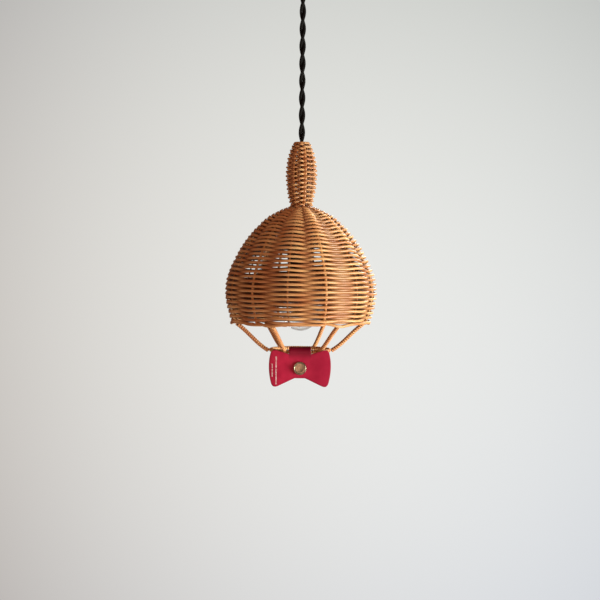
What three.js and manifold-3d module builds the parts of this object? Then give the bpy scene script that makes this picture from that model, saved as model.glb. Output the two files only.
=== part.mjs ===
// A woven rattan pendant lamp: a spindle neck and an onion-shaped dome of cane hang on a twisted
// cord, six wrapped ribs run from the rim down to a small ring, and a leather bow-tie tag hangs on
// the ring. Millimetres, +Z up. The ceiling face is z = 0 and the lamp's front looks towards -Y.
import * as THREE from "three";
import { mergeVertices } from "three/addons/utils/BufferGeometryUtils.js";
import Module from "manifold-3d";

const wasm = await Module();
wasm.setup();

// ---------------------------------------------------------------- driving dimensions
const GAP = 0.3;
const DEGREE = Math.PI / 180;

// The woven shade: radius and height points of its outer outline, from the top down.
const NECK_OUTLINE = [
  [7.6, -200.4], [9.8, -205], [12.3, -212], [14.2, -221], [15.1, -231],
  [14.6, -241], [13.2, -251], [11.3, -260], [10.6, -264],
];
const DOME_OUTLINE = [
  [10.6, -264.3], [21.5, -269], [36, -278.3], [53.5, -296], [65, -314.2],
  [73.3, -332.5], [75.6, -349], [74, -363], [69.6, -377.6],
];
const NECK_BORE = 4.3;
const WEAVE = 1.9;
const STAKE_RADIUS = 1.2;
const STAKE_DEPTH = 3.95;
const STAKE_SIDES = 4;
const STAKE_STEPS = 40;
const FIRST_RIB_STAKE = -10;
const FIRST_BORDER_STAKE = 20;
const PAIR_ANGLE = 60;
const BORDER_RADIUS = 67.7;
const BORDER_Z = -380.1;

// The ribs, from the rim to the ring, as radius and height of their middle line.
const RIB_LINE = [[61.4, -382.2], [54.6, -388], [48, -394.4], [41.4, -400.6], [36.6, -404.4], [32.4, -407.2]];
const FIRST_RIB = -25;
const RIBS = 6;
const RIB_STEPS = 6;
const WRAP_RADIUS = 2.15;
const WRAP_BORE = 1.8;
const RING_RADIUS = 29;
const RING_Z = -407;
const RING_WRAP_RADIUS = 2.0;
const RING_SEAM_ANGLE = 5;

// The leather tag on the ring's front bar.
const LEATHER = 1.6;
const TAB_HALF_WIDTH = 10.7;
const LOOP_CENTRE_Y = -28.95;
const LOOP_HALF_DEPTH = 4.45;
const LOOP_HALF_HEIGHT = 3.4;
const SNAP_DROP = 15.4;
const TONGUE_HINGE_DROP = 1.4;
const TONGUE_Y = -29.4;
const POST_RADIUS = 2.0;

// The cord and the lamp holder.
const CORD_RADIUS = 3.25;
const CORD_TOP = -40;
const CORD_BOTTOM = -275.6;
const HOLDER_RADIUS = 13.5;
const BASE_RADIUS = 8.3;
const BULB_RADIUS = 18.7;
const BULB_CENTRE_Z = -369;
const GLASS_WALL = 0.8;

// The ceiling fitting.
const CUP_RADIUS = 42;
const CUP_HEIGHT = 30;
const CUP_WALL = 1.2;
const STRAP_THICKNESS = 2;
const EAR_X = 34;
const CUP_SCREW_Z = -7;

// ---------------------------------------------------------------- materials
const finish = (color, roughness, metalness = 0) =>
  new THREE.MeshStandardMaterial({ color, roughness, metalness });

const cane = finish(0xb8763a, 0.45);
const caneCore = finish(0xa86c3c, 0.6);
const wrapCane = finish(0xc98f45, 0.4);
const leather = finish(0xb41f3c, 0.55);
const antiqueBrass = finish(0x8f7a4e, 0.35, 1);
const brass = finish(0xc9a45a, 0.3, 1);
const steel = finish(0xb9bcc0, 0.4, 1);
const blackPlastic = finish(0x191918, 0.45);
const ceramic = finish(0xe8e4da, 0.4);
const cordCloth = finish(0x1c1a19, 0.9);
const insulation = finish(0x6f7478, 0.6);
const blackGlass = finish(0x101014, 0.15);
const tungsten = finish(0x6a6a6e, 0.4, 1);
const clearGlass = finish(0xf2f4f2, 0.05);
clearGlass.transparent = true;
clearGlass.opacity = 0.35;

// ---------------------------------------------------------------- geometry helpers
const group = new THREE.Group();

function add(name, geometry, material) {
  const mesh = new THREE.Mesh(geometry, material);
  mesh.name = name;
  group.add(mesh);
  return mesh;
}

// A turned piece about Z. The profile's radius and height points run up its outside.
function turned(profile, segments = 24) {
  const points = profile.map(([r, z]) => new THREE.Vector2(r, z));
  return new THREE.LatheGeometry(points, segments).rotateX(Math.PI / 2);
}

// A turned piece with a hole through it: up the outside, down the inside, and closed.
const turnedTube = (profile, segments) => turned([...profile, profile[0]], segments);

// A plain tube about Z.
const sleeve = (outer, inner, low, high, segments = 20) =>
  turnedTube([[outer, low], [outer, high], [inner, high], [inner, low]], segments);

// A point on the lamp by angle from the front, turning towards +X, and radius and height.
function around(degrees, radius, z) {
  const angle = degrees * DEGREE;
  return new THREE.Vector3(radius * Math.sin(angle), -radius * Math.cos(angle), z);
}

function polygon(radius, sides) {
  return Array.from({ length: sides }, (_, i) => {
    const angle = (2 * Math.PI * (i + 0.5)) / sides;
    return new THREE.Vector2(radius * Math.cos(angle), radius * Math.sin(angle));
  });
}

// A rod along a smooth curve through the points, or a sleeve if it has a bore.
function rod(points, radius, sides, steps, bore = 0) {
  const section = new THREE.Shape(polygon(radius, sides));
  if (bore) section.holes.push(new THREE.Path(polygon(bore, sides)));
  const extrudePath = new THREE.CatmullRomCurve3(points);
  return new THREE.ExtrudeGeometry(section, { extrudePath, steps, bevelEnabled: false });
}

// A flat outline in X and Z, with its thickness running from y towards the front.
function plate(outline, thickness, y, z, curveSegments = 6) {
  const options = { depth: thickness, bevelEnabled: false, curveSegments };
  return new THREE.ExtrudeGeometry(outline, options).rotateX(Math.PI / 2).translate(0, y, z);
}

// A section in Y and Z carried along X, centred on x = 0.
function strip(section, width, z) {
  const along = new THREE.ExtrudeGeometry(section, { depth: width, bevelEnabled: false });
  const turn = new THREE.Matrix4().makeBasis(
    new THREE.Vector3(0, 1, 0), new THREE.Vector3(0, 0, 1), new THREE.Vector3(1, 0, 0),
  );
  return along.applyMatrix4(turn).translate(-width / 2, 0, z);
}

// A round piece about Y: its profile gives radius and distance out of the leather's front.
function stud(profile, y, z, segments = 16) {
  const points = profile.map(([r, h]) => new THREE.Vector2(r, h));
  return new THREE.LatheGeometry(points, segments).rotateX(Math.PI).translate(0, y, z);
}

const postHole = (y, z) =>
  solid(stud([[0, -6], [POST_RADIUS + GAP, -6], [POST_RADIUS + GAP, 6], [0, 6]], y, z, 12));

function solid(geometry) {
  const bare = geometry.index ? geometry.toNonIndexed() : geometry.clone();
  bare.deleteAttribute("normal");
  bare.deleteAttribute("uv");
  const merged = mergeVertices(bare, 1e-3);
  const vertProperties = merged.attributes.position.array;
  const triVerts = new Uint32Array(merged.index.array);
  return new wasm.Manifold(new wasm.Mesh({ numProp: 3, vertProperties, triVerts }));
}

function geometryOf(manifold) {
  const mesh = manifold.getMesh();
  const geometry = new THREE.BufferGeometry();
  geometry.setAttribute("position", new THREE.BufferAttribute(mesh.vertProperties, 3));
  geometry.setIndex(new THREE.BufferAttribute(mesh.triVerts, 1));
  geometry.computeVertexNormals();
  return geometry;
}

// The geometry with all the solids cut away.
function cut(geometry, cutters) {
  let body = solid(geometry);
  for (const cutter of cutters) body = body.subtract(cutter);
  return geometryOf(body);
}

// ---------------------------------------------------------------- woven shade
const splineOf = (outline) => new THREE.SplineCurve(outline.map(([r, z]) => new THREE.Vector2(r, z)));
const neckLine = splineOf(NECK_OUTLINE);
const domeLine = splineOf(DOME_OUTLINE);

// A point of a woven wall, at a depth under its outer face, as radius and height.
function wallPoint(line, t, depth) {
  const p = line.getPoint(t);
  const along = line.getTangent(t);
  return [p.x + depth * along.y, p.y - depth * along.x];
}

const stepsFrom = (from, to, count) =>
  Array.from({ length: count + 1 }, (_, i) => from + ((to - from) * i) / count);

// The weave is as thick as the cane that it holds, and its stakes stand on its inner face.
function wovenWall(line, outerSteps, innerSteps, segments) {
  const outer = stepsFrom(1, 0, outerSteps).map((t) => wallPoint(line, t, 0));
  const inner = stepsFrom(0, 1, innerSteps).map((t) => wallPoint(line, t, WEAVE));
  return turnedTube([...outer, ...inner], segments);
}
add("neck_weave", wovenWall(neckLine, 9, 8, 20), cane);
add("dome_weave", wovenWall(domeLine, 11, 9, 32), cane);

// The stake's own middle line through the neck and the dome, at one angle from the front.
function stakeLine(degrees) {
  const inNeck = stepsFrom(0.2, 0.85, 5).map((t) => around(degrees, ...wallPoint(neckLine, t, STAKE_DEPTH)));
  const bend = [around(degrees, 6.2, -263), around(degrees, 8.4, -268.6)];
  const inDome = stepsFrom(0.13, 1, 8).map((t) => around(degrees, ...wallPoint(domeLine, t, STAKE_DEPTH)));
  return [...inNeck, ...bend, ...inDome];
}

// Six stakes turn left at the rim and lie along it as its border.
function borderStakeLine(degrees) {
  const turn = around(degrees - 2.2, BORDER_RADIUS, BORDER_Z + 0.4);
  const tail = stepsFrom(6, PAIR_ANGLE - 4, 7).map((d) => around(degrees - d, BORDER_RADIUS, BORDER_Z));
  return [...stakeLine(degrees), turn, ...tail];
}

// The other six pass inside the border, move half a gap to the left and end on the ring.
const ribLine = new THREE.SplineCurve(RIB_LINE.map(([r, z]) => new THREE.Vector2(r, z)));
const ribPoints = (degrees) => ribLine.getSpacedPoints(RIB_STEPS).map((p) => around(degrees, p.x, p.y));

function ribStakeLine(degrees, rib) {
  const crossing = [around(degrees + 0.55 * (rib - degrees), 64.9, -379.3), around(rib + 1.2, 63.1, -380.8)];
  return [...stakeLine(degrees), ...crossing, ...ribPoints(rib)];
}

for (let i = 0; i < RIBS; i++) {
  const turn = i * PAIR_ANGLE;
  const rib = FIRST_RIB + turn;
  const borderStake = borderStakeLine(FIRST_BORDER_STAKE + turn);
  const ribStake = ribStakeLine(FIRST_RIB_STAKE + turn, rib);
  add(`border_stake_${i + 1}`, rod(borderStake, STAKE_RADIUS, STAKE_SIDES, STAKE_STEPS), caneCore);
  add(`rib_stake_${i + 1}`, rod(ribStake, STAKE_RADIUS, STAKE_SIDES, STAKE_STEPS), caneCore);
  add(`rib_wrap_${i + 1}`, rod(ribPoints(rib), WRAP_RADIUS, 8, RIB_STEPS, WRAP_BORE), wrapCane);
}

// ---------------------------------------------------------------- ring
const ringCore = new THREE.TorusGeometry(RING_RADIUS, STAKE_RADIUS, 6, 24).translate(0, 0, RING_Z);
add("ring_core", ringCore, caneCore);

// The ring's wrapping is open by a seam at the back, where its cane starts and ends.
const ringArc = stepsFrom(180 + RING_SEAM_ANGLE / 2, 540 - RING_SEAM_ANGLE / 2, 18);
const ringPath = ringArc.map((degrees) => around(degrees, RING_RADIUS, RING_Z));
add("ring_wrap", rod(ringPath, RING_WRAP_RADIUS, 8, 18, WRAP_BORE), wrapCane);

// ---------------------------------------------------------------- leather tag
const SNAP_Z = RING_Z - SNAP_DROP;
const FRONT_INNER_Y = LOOP_CENTRE_Y - LOOP_HALF_DEPTH;

// The bow-tie outline, with z = 0 at the ring's bar: rounded wings, a waist and two notches.
function bowTie() {
  const outline = new THREE.Shape();
  outline.moveTo(-5.2, -25.3);
  outline.lineTo(5.2, -25.3);
  outline.lineTo(21.6, -33.2);
  outline.quadraticCurveTo(26.9, -35.4, 28.3, -29.6);
  outline.quadraticCurveTo(32.0, -14.5, 29.0, -1.8);
  outline.quadraticCurveTo(28.0, 3.4, 23.0, 2.2);
  outline.lineTo(11.0, -1.6);
  outline.lineTo(TAB_HALF_WIDTH, 0.2);
  outline.lineTo(-TAB_HALF_WIDTH, 0.2);
  outline.lineTo(-11.0, -1.6);
  outline.lineTo(-23.0, 2.2);
  outline.quadraticCurveTo(-28.0, 3.4, -29.0, -1.8);
  outline.quadraticCurveTo(-32.0, -14.5, -28.3, -29.6);
  outline.quadraticCurveTo(-26.9, -35.4, -21.6, -33.2);
  outline.closePath();
  return outline;
}

// The tab's loop over the bar: half an ellipse with a short leg at the front and at the back.
function loopSection() {
  const section = new THREE.Shape();
  const arc = (degrees, grow) => [
    LOOP_CENTRE_Y + (LOOP_HALF_DEPTH + grow) * Math.cos(degrees * DEGREE),
    (LOOP_HALF_HEIGHT + grow) * Math.sin(degrees * DEGREE),
  ];
  section.moveTo(FRONT_INNER_Y - LEATHER, -3);
  for (const degrees of stepsFrom(180, 0, 12)) section.lineTo(...arc(degrees, LEATHER));
  section.lineTo(LOOP_CENTRE_Y + LOOP_HALF_DEPTH + LEATHER, -GAP);
  section.lineTo(LOOP_CENTRE_Y + LOOP_HALF_DEPTH, -GAP);
  for (const degrees of stepsFrom(0, 180, 12)) section.lineTo(...arc(degrees, 0));
  section.lineTo(FRONT_INNER_Y, -3);
  section.closePath();
  return section;
}

const front = solid(plate(bowTie(), LEATHER, FRONT_INNER_Y, RING_Z));
const loop = solid(strip(loopSection(), 2 * TAB_HALF_WIDTH, RING_Z));
const wholeFront = geometryOf(front.add(loop));
add("tag_front", cut(wholeFront, [postHole(FRONT_INNER_Y, SNAP_Z)]), leather);

// The tongue hangs behind the bar and its lower end presses on to the front with the snap.
function tongueSection() {
  const hingeY = LOOP_CENTRE_Y + LOOP_HALF_DEPTH + LEATHER / 2;
  const middle = new THREE.SplineCurve([
    new THREE.Vector2(hingeY, -TONGUE_HINGE_DROP),
    new THREE.Vector2(hingeY - 2.6, -6),
    new THREE.Vector2(TONGUE_Y, -11.2),
    new THREE.Vector2(TONGUE_Y, -23.6),
  ]);
  const side = (t, half) => {
    const p = middle.getPoint(t);
    const along = middle.getTangent(t);
    return new THREE.Vector2(p.x - half * along.y, p.y + half * along.x);
  };
  const start = middle.getPoint(0);
  const top = stepsFrom(0, 180, 6).map((degrees) => {
    const angle = degrees * DEGREE;
    const across = middle.getTangent(0);
    const half = LEATHER / 2;
    return new THREE.Vector2(
      start.x + half * (-across.y * Math.cos(angle) - across.x * Math.sin(angle)),
      start.y + half * (across.x * Math.cos(angle) - across.y * Math.sin(angle)),
    );
  });
  const back = stepsFrom(1, 0.1, 9).map((t) => side(t, LEATHER / 2));
  const frontSide = stepsFrom(0.1, 1, 9).map((t) => side(t, -LEATHER / 2));
  return new THREE.Shape([...back, ...top, ...frontSide]);
}

function tongueOutline() {
  const outline = new THREE.Shape();
  outline.moveTo(-10, 1);
  outline.absarc(0, -13.6, 10, Math.PI, 2 * Math.PI, false);
  outline.lineTo(10, 1);
  outline.closePath();
  return outline;
}

const tongueStrip = solid(strip(tongueSection(), 2 * TAB_HALF_WIDTH, RING_Z));
const tongueCutter = solid(plate(tongueOutline(), 16, -20, RING_Z));
const tongue = geometryOf(tongueStrip.intersect(tongueCutter));
add("tag_tongue", cut(tongue, [postHole(TONGUE_Y, SNAP_Z)]), leather);

// The snap: cap and socket on the front, stud and post on the tongue.
const FRONT_FACE_Y = FRONT_INNER_Y - LEATHER;
const capProfile = [
  [0, -LEATHER], [POST_RADIUS, -LEATHER], [POST_RADIUS, GAP], [6.3, GAP], [6.5, 1.3], [6.1, 2.2],
  [5.5, 2.4], [4.9, 2.0], [0, 2.3],
];
add("snap_cap", stud(capProfile, FRONT_FACE_Y, SNAP_Z), antiqueBrass);

const socketProfile = [[4.6, 0.3], [4.6, 1.5], [2.7, 1.5], [2.7, 0.3], [4.6, 0.3]];
add("snap_socket", stud(socketProfile, FRONT_INNER_Y + 1.8, SNAP_Z), antiqueBrass);

const TONGUE_FRONT_Y = TONGUE_Y - LEATHER / 2;
const studProfile = [[0, GAP], [4.2, GAP], [4.2, 1.4], [1.6, 1.4], [1.6, 2.5], [0, 2.6]];
add("snap_stud", stud(studProfile, TONGUE_FRONT_Y, SNAP_Z), antiqueBrass);

const TONGUE_BACK_Y = TONGUE_Y + LEATHER / 2;
const postProfile = [[0, -1.2], [4, -1.2], [4.5, -GAP], [POST_RADIUS, -GAP], [POST_RADIUS, LEATHER], [0, LEATHER]];
add("snap_post", stud(postProfile, TONGUE_BACK_Y, SNAP_Z), antiqueBrass);

// ---------------------------------------------------------------- cord and lamp holder
const CORD_ROUTE = [
  new THREE.Vector3(0, 0, CORD_TOP),
  new THREE.Vector3(0, 0, -98.9),
  new THREE.Vector3(0, 0, -157.8),
  new THREE.Vector3(0, 0, -216.7),
  new THREE.Vector3(0, 0, CORD_BOTTOM),
];
add("cord", rod(CORD_ROUTE, CORD_RADIUS, 8, 14), cordCloth);

add("retaining_washer", sleeve(13, NECK_BORE, -275.6, -273.8), steel);
add("cord_grip", turnedTube([[8.4, -288], [8.4, -286], [6.2, -275.9], [3, -275.9], [3, -288]], 20), blackPlastic);
add("holder_cap", turnedTube([
  [HOLDER_RADIUS, -301], [HOLDER_RADIUS, -293], [9.5, -288.3], [3.4, -288.3],
  [3.4, -289.8], [8.9, -289.8], [12.1, -293.6], [12.1, -301],
], 20), blackPlastic);
add("holder_body", turnedTube([
  [HOLDER_RADIUS, -345], [HOLDER_RADIUS, -301.3], [12.1, -301.3], [12.1, -343.6], [10.4, -343.6], [10.4, -345],
], 20), blackPlastic);
add("holder_insert", turned([[0, -316], [11.8, -316], [11.8, -302.2], [0, -302.2]], 28), ceramic);
add("screw_shell", sleeve(9.4, 8.8, -341, -316.3), brass);
add("centre_contact", turned([[0, -320.3], [2.2, -319.8], [2.6, -316.3], [0, -316.3]], 16), brass);

for (const [side, name] of [[-1, "neutral"], [1, "live"]]) {
  const core = [[1.4, -276.2], [1.4, -288], [3, -292], [7, -296], [7.5, -299.2]];
  const holderCore = core.map(([x, z]) => new THREE.Vector3(side * x, 0, z));
  add(`cord_core_${name}`, rod(holderCore, 1.1, 6, 8), insulation);
  const screw = turned([[0, -301.9], [2.4, -301.9], [2.4, -299.8], [0, -299.8]], 12).translate(side * 7.5, 0, 0);
  add(`terminal_screw_${name}`, screw, brass);
  const supply = [[1.4, -38.4], [1.4, -28], [4.5, -18], [5, -13.2]];
  const supplyCore = supply.map(([x, z]) => new THREE.Vector3(side * x, 0, z));
  add(`supply_core_${name}`, rod(supplyCore, 1.1, 6, 6), insulation);
}

// ---------------------------------------------------------------- bulb
add("bulb_tip", turned([[0, -322], [3.4, -322], [3, -320.9], [0, -320.6]], 20), steel);
add("bulb_insulator", turned([[0, -324.4], [6.9, -324.4], [3.8, -322.3], [0, -322.3]], 20), blackGlass);
add("bulb_base", sleeve(BASE_RADIUS, BASE_RADIUS - 0.5, -343.8, -324.7), brass);

// The glass: a short neck that swells into a ball, open where the base closes it.
function bulbLine(inset) {
  const ball = stepsFrom(-90, 32, 7).map((degrees) => [
    (BULB_RADIUS - inset) * Math.cos(degrees * DEGREE),
    BULB_CENTRE_Z + (BULB_RADIUS - inset) * Math.sin(degrees * DEGREE),
  ]);
  ball[0][0] = 0;
  return [...ball, [11.6 - inset, -354], [8.6 - inset, -349], [7.6 - inset, -344.1]];
}
const glassProfile = [...bulbLine(0), ...bulbLine(GLASS_WALL).reverse()];
add("bulb_glass", turned(glassProfile, 20), clearGlass);
add("bulb_stem", turned([[0, -360], [1.8, -359.4], [2.2, -350], [6.2, -344.4], [0, -344.4]], 16), clearGlass);

const leadLine = [[1.6, -360.6], [2.6, -363], [5, -366.4], [5.6, -368.6]];
for (const [side, name] of [[-1, "left"], [1, "right"]]) {
  const lead = leadLine.map(([x, z]) => new THREE.Vector3(side * x, 0, z));
  add(`bulb_lead_${name}`, rod(lead, 0.3, 6, 5), tungsten);
}
const filamentLine = [[-5.6, -369.6], [-3.4, -367.6], [0, -366.9], [3.4, -367.6], [5.6, -369.6]];
add("bulb_filament", rod(filamentLine.map(([x, z]) => new THREE.Vector3(x, 0, z)), 0.3, 6, 8), tungsten);

// ---------------------------------------------------------------- ceiling fitting
// A steel strap with an ear bent down at each end. It is screwed to the ceiling by two holes.
function strapSection() {
  const inner = EAR_X - STRAP_THICKNESS;
  return new THREE.Shape([
    new THREE.Vector2(-EAR_X, -12), new THREE.Vector2(-inner, -12),
    new THREE.Vector2(-inner, -STRAP_THICKNESS), new THREE.Vector2(inner, -STRAP_THICKNESS),
    new THREE.Vector2(inner, -12), new THREE.Vector2(EAR_X, -12),
    new THREE.Vector2(EAR_X, 0), new THREE.Vector2(-EAR_X, 0),
  ]);
}
const crossHole = (from, to) =>
  solid(turned([[0, from], [2.1, from], [2.1, to], [0, to]], 16).rotateY(Math.PI / 2).translate(0, 0, CUP_SCREW_Z));
const ceilingHole = (x) => solid(turned([[0, -3], [2.3, -3], [2.3, 1], [0, 1]], 16).translate(x, 0, 0));

const strap = plate(strapSection(), 18, 9, 0);
const strapHoles = [crossHole(-50, 50), ceilingHole(-22), ceilingHole(22)];
add("ceiling_bracket", cut(strap, strapHoles), steel);
const block = new THREE.BoxGeometry(22, 13, 10).translate(0, 0, -STRAP_THICKNESS - GAP - 5);
add("terminal_block", block, ceramic);

const inside = CUP_RADIUS - CUP_WALL;
const cup = turnedTube([
  [38, -CUP_HEIGHT], [CUP_RADIUS, -CUP_HEIGHT + 4], [CUP_RADIUS, -0.4], [inside, -0.4],
  [inside, -CUP_HEIGHT + 4.4], [37.5, -CUP_HEIGHT + CUP_WALL], [5.3, -CUP_HEIGHT + CUP_WALL], [5.3, -CUP_HEIGHT],
]);
add("ceiling_cup", cut(cup, [crossHole(-50, 50)]), blackPlastic);

for (const [side, name] of [[-1, "left"], [1, "right"]]) {
  const screwProfile = [[0, 30], [1.75, 30], [1.75, 42.4], [3.9, 42.4], [3.9, 44.4], [3.2, 45.2], [0, 45.2]];
  const screw = turned(screwProfile, 16).rotateY((side * Math.PI) / 2).translate(0, 0, CUP_SCREW_Z);
  add(`cup_screw_${name}`, screw, steel);
}

// The grip under the cup holds the cord. Its bell mouth lets the cord swing.
add("ceiling_cord_grip", turnedTube([
  [4.9, -44.5], [6, -44.5], [9, -36.5], [9, -30.3], [5, -30.3], [5, -26],
  [3, -26], [3, -38.7], [3.7, -38.7], [3.7, -40],
], 16), blackPlastic);

export default group;
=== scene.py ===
import math

import bmesh
import bpy
from mathutils import Matrix, Vector
from mathutils.geometry import delaunay_2d_cdt
from mathutils.kdtree import KDTree


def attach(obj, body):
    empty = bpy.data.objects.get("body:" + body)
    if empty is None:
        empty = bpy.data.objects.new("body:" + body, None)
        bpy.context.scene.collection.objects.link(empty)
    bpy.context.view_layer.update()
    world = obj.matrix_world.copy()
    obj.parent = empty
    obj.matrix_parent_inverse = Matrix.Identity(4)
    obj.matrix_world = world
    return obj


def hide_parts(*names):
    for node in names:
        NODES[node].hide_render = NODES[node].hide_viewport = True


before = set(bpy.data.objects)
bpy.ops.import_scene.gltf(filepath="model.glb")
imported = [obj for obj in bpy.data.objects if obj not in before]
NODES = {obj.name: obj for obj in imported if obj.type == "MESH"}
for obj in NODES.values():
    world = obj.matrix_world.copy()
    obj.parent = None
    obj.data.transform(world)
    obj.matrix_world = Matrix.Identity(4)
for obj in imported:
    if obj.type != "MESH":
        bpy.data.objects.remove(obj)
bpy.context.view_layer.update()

bl_info = {
    "name": "Woven Cane Pendant Lamp",
    "version": (1, 0, 0),
    "blender": (4, 5, 0),
    "location": "View3D > Sidebar > Cane Lamp",
    "description": "Weaves the shade and dresses every piece of a small cane pendant lamp",
    "category": "Object",
}

# Metres, +Z up, the ceiling face at z = 0 and the lamp's front towards -Y.
MM = 0.001

# Outer outline of the woven shade, radius and height in millimetres, from the top down.
NECK_OUTLINE = [
    (7.6, -200.4), (9.8, -205), (12.3, -212), (14.2, -221), (15.1, -231),
    (14.6, -241), (13.2, -251), (11.3, -260), (10.6, -264),
]
DOME_OUTLINE = [
    (10.6, -264.3), (22.3, -268.4), (37.2, -277.8), (54, -295.7), (65.2, -314),
    (73.3, -332.5), (75.6, -349), (74, -363), (69.2, -379.8),
]

# The twisted cord: its ends in millimetres, and the radius of one core in metres.
CORD_TOP = -40
CORD_BOTTOM = -275.6
CORD_CORE = 0.001625

# Twelve stakes, in six pairs of a border stake and a rib stake. Angles are in degrees from the front,
# turning towards +X.
STAKES = 12
PAIRS = 6
PAIR_TURN = 60
FIRST_RIB_STAKE = -10
FIRST_BORDER_STAKE = 20
FIRST_RIB = -25

# A stake's way down: shares of the outline it follows, and its depth under the outline in millimetres.
NECK_STAKE_SHARES = [0.1 + 0.75 * k / 6 for k in range(7)]
NECK_STAKE_DEPTHS = [2.6, 2.6, 3.2, 3.2, 3.2, 3.2, 3.2]
WAIST_LINE = [(6.4, -263), (8.6, -268.4)]
DOME_STAKE_SHARES = [0.13 + 0.87 * k / 9 for k in range(10)]
DOME_STAKE_DEPTH = 3.95

# The border along the rim, made of the folded ends of every second stake.
BORDER_RADIUS = 67.7
BORDER_Z = -380.1
BORDER_STRAND = 0.00135
BORDER_POINTS = 12
BORDER_SWEEP = 54

# Ribs and ring, wound with split cane.
RIB_LINE = [(61.4, -382.2), (54.6, -388), (48, -394.4), (41.4, -400.6), (36.6, -404.4), (32.4, -407.2)]
RIB_FOOT = (31.2, -407.7)
RIB_HEAD = (63.3, -380.8)
RING_RADIUS = 29
RING_Z = -407
WRAP_RADIUS = 2.15
RING_WRAP_RADIUS = 2.0
STRIP_THICKNESS = 0.0013

# The leather tag, in millimetres, with heights measured from the ring's bar.
LEATHER = 1.6
SHEET_EDGE_STEP = 0.8
SHEET_STEP = 1.15
SHEET_ROUNDING = 0.65
BEND_START = 15
TAB_HALF_WIDTH = 10.7
FRONT_MIDDLE_Y = -34.2
LOOP_CENTRE_Y = -28.95
LOOP_HALF_DEPTH = 5.25
LOOP_HALF_HEIGHT = 4.2
TONGUE_LINE = [(-23.7, -1.2), (-26.3, -6), (-29.4, -11.2), (-29.4, -23.6)]
SNAP_Z = -422.4

# Plain printed lines of dashes on the tag: middle, half width, low end and high end in metres,
# and how close the dashes stand.
PRINTED_LINES = (
    (-0.0232, 0.0006, -0.4385, -0.4109, 1500),
    (-0.027, 0.00055, -0.431, -0.418, 1900),
)
PRINT_BREAK_Z = -0.4228

# Camera and lamps, in metres. A lamp has a place, a size, its share of the key light's power and a tone.
CAMERA_EYE = (-0.0004, -1.4, -0.304)
CAMERA_TARGET = (-0.0004, 0, -0.357)
CAMERA_ROLL = 0.5
LAMPS = {
    "key": ((1.7, -0.66, -0.6), 1.1, 1, (1.0, 0.97, 0.9)),
    "fill": ((-0.5, -2.2, -0.2), 1.4, 0.23, (1.0, 0.53, 0.4)),
    "back": ((0.9, 1.5, 0.3), 1.0, 0.3, (1.0, 0.95, 0.9)),
}
LAMP_TARGET = (0, 0, -0.33)
FLOOR_Z = -1.7
FLOOR_RADIUS = 3.2


# ---------------------------------------------------------------- settings
def length(name, text, default):
    return bpy.props.FloatProperty(
        name=name, description=text, default=default, min=0, subtype="DISTANCE", unit="LENGTH", precision=5
    )


def turns(name, text, default):
    return bpy.props.IntProperty(name=name, description=text, default=default, min=4)


def colour(name, text, default):
    return bpy.props.FloatVectorProperty(
        name=name, description=text, default=default, min=0, max=1, size=3, subtype="COLOR"
    )


class CaneLampWeave(bpy.types.PropertyGroup):
    """Sizes of the cane work."""

    dome_rows: turns("Dome rows", "Turns of cane in the dome", 60)
    neck_rows: turns("Neck rows", "Turns of cane in the neck", 30)
    dome_strand: length("Dome strand radius", "Radius of the dome's weaving strand", 0.00137)
    neck_strand: length("Neck strand radius", "Radius of the neck's weaving strand", 0.00106)
    dome_swing: length("Dome swing", "How far the dome's strand swings to each side of its stakes", 0.0024)
    neck_swing: length("Neck swing", "How far the neck's strand swings to each side of its stakes", 0.0022)
    stake: length("Stake radius", "Radius of an upright stake", 0.00108)
    binding_pitch: length("Binding pitch", "Distance between turns of the split cane", 0.00238)
    cord_lay: length("Cord lay", "Length of one full twist of the two cord cores", 0.0342)


class CaneLampFinish(bpy.types.PropertyGroup):
    """Colours of the lamp."""

    cane_light: colour("Light cane", "Brightest tone of the lacquered cane", (0.86, 0.54, 0.22))
    cane_dark: colour("Dark cane", "Deepest tone of the lacquered cane", (0.50, 0.17, 0.05))
    stake_tone: colour("Stake cane", "Tone of the stakes inside the weave", (0.44, 0.17, 0.05))
    leather: colour("Leather", "Dyed leather of the tag", (0.44, 0.008, 0.05))
    old_brass: colour("Old brass", "Bright tone of the snap", (0.335, 0.31, 0.215))
    cloth: colour("Cord cloth", "Braided cover of the cord", (0.0045, 0.0045, 0.004))
    backdrop: colour("Backdrop", "Pale paper behind the lamp", (0.794, 0.795, 0.766))
    key: bpy.props.FloatProperty(
        name="Key light", description="Power of the key light", default=55, unit="POWER"
    )
    focal: bpy.props.FloatProperty(
        name="Focal length", description="Camera lens", default=84, unit="CAMERA"
    )


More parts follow.
